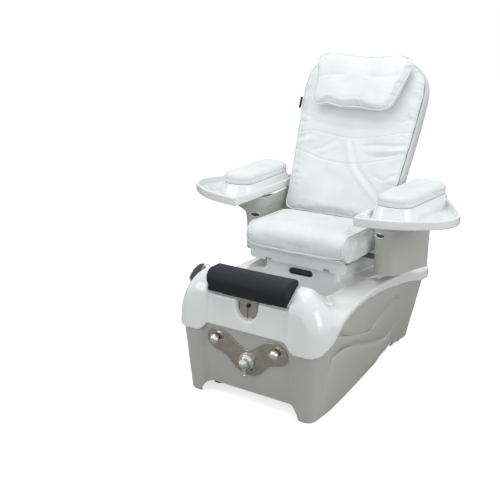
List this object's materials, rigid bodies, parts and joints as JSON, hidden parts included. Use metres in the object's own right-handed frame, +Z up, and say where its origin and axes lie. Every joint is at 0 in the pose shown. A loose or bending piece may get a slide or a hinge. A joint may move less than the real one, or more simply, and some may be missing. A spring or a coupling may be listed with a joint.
{
  "type": "pedicure spa chair",
  "caption": "Pedicure spa chair: foot basin base with faucet panel and footrest roll, sliding seat, reclining massage back and lift-up manicure trays.",
  "frame": {"origin": "centre of the bounding box in plan, on the floor", "axes": "+X to the right for someone looking at the front, +Y from the front of the basin to the rear, +Z up"},
  "size_m": [1.3144, 1.2224, 1.4183],
  "materials": {
    "skirt_plastic": "gloss",
    "white_plastic": "gloss",
    "shell_plastic": "satin",
    "chassis_paint": "satin",
    "motor_paint": "satin",
    "black_rubber": "matte",
    "outlet_plastic": "satin",
    "chrome_trim": "polished",
    "plain_steel": "satin",
    "plate_metal": "gloss",
    "pipe_plastic": "satin",
    "brass_fittings": "satin",
    "bearing_metal": "satin",
    "black_screw": "satin",
    "pad_leather": "satin",
    "board_wood": "matte",
    "white_leather": "satin",
    "tab_fabric": "matte"
  },
  "bodies": {
    "base": {"base_skirt": "skirt_plastic", "tub_shell": "white_plastic", "chassis_frame": "chassis_paint", "floor_pads": "black_rubber", "waterfall_outlet": "outlet_plastic", "jet_nozzles": "chrome_trim", "drain_body": "plain_steel", "circulation_pump": "motor_paint", "pump_pipes": "pipe_plastic", "control_box": "pipe_plastic", "rear_inlets": "brass_fittings", "faucet_plate": "plate_metal", "mixer_valves": "brass_fittings", "diverter_hub": "chrome_trim", "shower_dock": "chrome_trim", "footrest_guide": "plain_steel", "slide_rails": "plain_steel", "slide_motor": "motor_paint", "front_bearing": "bearing_metal"},
    "hot_knob": {"hot_knob": "chrome_trim"},
    "cold_knob": {"cold_knob": "chrome_trim"},
    "diverter": {"diverter_lever": "chrome_trim"},
    "hand_shower": {"hand_shower": "chrome_trim"},
    "drain_plug": {"drain_plug": "chrome_trim"},
    "footrest": {"footrest_slider": "plain_steel", "footrest_pad": "pad_leather"},
    "footrest_screw": {"footrest_screw": "black_screw"},
    "lead_screw": {"lead_screw": "plain_steel"},
    "seat": {"seat_frame": "chassis_paint", "screw_nut": "brass_fittings", "seat_board": "board_wood", "seat_cushion": "white_leather", "seat_apron": "white_leather", "arm_column_left": "skirt_plastic", "arm_column_right": "skirt_plastic", "arm_hinge_pins": "plain_steel", "recline_actuator": "motor_paint", "back_hinge_pins": "plain_steel"},
    "latch_left": {"arm_latch_left": "chrome_trim"},
    "latch_right": {"arm_latch_right": "chrome_trim"},
    "arm_left": {"tray_left": "white_plastic", "arm_pad_left": "white_leather"},
    "arm_right": {"tray_right": "white_plastic", "arm_pad_right": "white_leather"},
    "recline_rod": {"recline_rod": "plain_steel"},
    "back": {"back_frame": "chassis_paint", "back_shell": "shell_plastic", "back_cushion": "white_leather", "pull_tab": "tab_fabric", "massage_motor": "motor_paint"},
    "head_pillow": {"head_pillow": "white_leather"},
    "massage_carriage": {"massage_carriage": "chassis_paint"},
    "massage_rollers": {"massage_rollers": "black_rubber"},
    "massage_screw": {"massage_screw": "plain_steel"}
  },
  "joints": [
    {"name": "seat_slide", "type": "slide", "parent": "base", "child": "seat", "axis": [0, 1, 0], "range_m": [0, 0.15]},
    {"name": "lead_screw_turn", "type": "hinge", "parent": "base", "child": "lead_screw", "pos_m": [-0.038, 0.1712, 0.505], "axis": [0, 1, 0], "range_deg": [0, 5400]},
    {"name": "hot_knob_turn", "type": "hinge", "parent": "base", "child": "hot_knob", "pos_m": [-0.148, -0.5864, 0.2872], "axis": [0, -0.9934, -0.1149], "range_deg": [0, 90]},
    {"name": "cold_knob_turn", "type": "hinge", "parent": "base", "child": "cold_knob", "pos_m": [0.148, -0.5864, 0.2872], "axis": [0, -0.9934, -0.1149], "range_deg": [0, 90]},
    {"name": "diverter_turn", "type": "hinge", "parent": "base", "child": "diverter", "pos_m": [0, -0.5876, 0.21055], "axis": [0, -0.9934, -0.1149], "range_deg": [-45, 45]},
    {"name": "hand_shower_lift", "type": "slide", "parent": "base", "child": "hand_shower", "axis": [0, 0, 1], "range_m": [0, 0.12]},
    {"name": "drain_plug_lift", "type": "slide", "parent": "base", "child": "drain_plug", "axis": [0, 0, 1], "range_m": [0, 0.008]},
    {"name": "footrest_height", "type": "slide", "parent": "base", "child": "footrest", "axis": [0, 0, 1], "range_m": [0, 0.07]},
    {"name": "footrest_screw_turn", "type": "hinge", "parent": "base", "child": "footrest_screw", "pos_m": [0, -0.5548, 0.456], "axis": [0, -1, 0], "range_deg": [0, 180]},
    {"name": "back_recline", "type": "hinge", "parent": "seat", "child": "back", "pos_m": [0, 0.2392, 0.606], "axis": [-1, 0, 0], "range_deg": [0, 35]},
    {"name": "recline_rod_stroke", "type": "slide", "parent": "seat", "child": "recline_rod", "axis": [0, -1, 0], "range_m": [0, 0.06295]},
    {"name": "arm_left_lift", "type": "hinge", "parent": "seat", "child": "arm_left", "pos_m": [-0.356, 0.2972, 0.752], "axis": [-1, 0, 0], "range_deg": [0, 60]},
    {"name": "arm_right_lift", "type": "hinge", "parent": "seat", "child": "arm_right", "pos_m": [0.356, 0.2972, 0.752], "axis": [-1, 0, 0], "range_deg": [0, 60]},
    {"name": "latch_left_press", "type": "slide", "parent": "seat", "child": "latch_left", "axis": [0, 1, 0], "range_m": [0, 0.004], "stiffness_N_per_m": 400},
    {"name": "latch_right_press", "type": "slide", "parent": "seat", "child": "latch_right", "axis": [0, 1, 0], "range_m": [0, 0.004], "stiffness_N_per_m": 400},
    {"name": "pillow_height", "type": "slide", "parent": "back", "child": "head_pillow", "axis": [0, 0.3987, 0.9171], "range_m": [-0.06, 0.03]},
    {"name": "massage_travel", "type": "slide", "parent": "back", "child": "massage_carriage", "axis": [0, 0.3987, 0.9171], "range_m": [-0.04, 0.3]},
    {"name": "massage_screw_turn", "type": "hinge", "parent": "back", "child": "massage_screw", "pos_m": [0, 0.39683, 0.94156], "axis": [0, 0.3987, 0.9171], "range_deg": [-1440, 10800]},
    {"name": "massage_roller_spin", "type": "hinge", "parent": "massage_carriage", "child": "massage_rollers", "pos_m": [0, 0.29116, 0.82394], "axis": [1, 0, 0], "continuous": true}
  ],
  "couplings": [
    {"joint": "lead_screw_turn", "follows": "seat_slide", "rad_per_m": 628.32},
    {"joint": "recline_rod_stroke", "follows": "back_recline", "m_per_rad": 0.10239},
    {"joint": "massage_screw_turn", "follows": "massage_travel", "rad_per_m": 628.32}
  ]
}
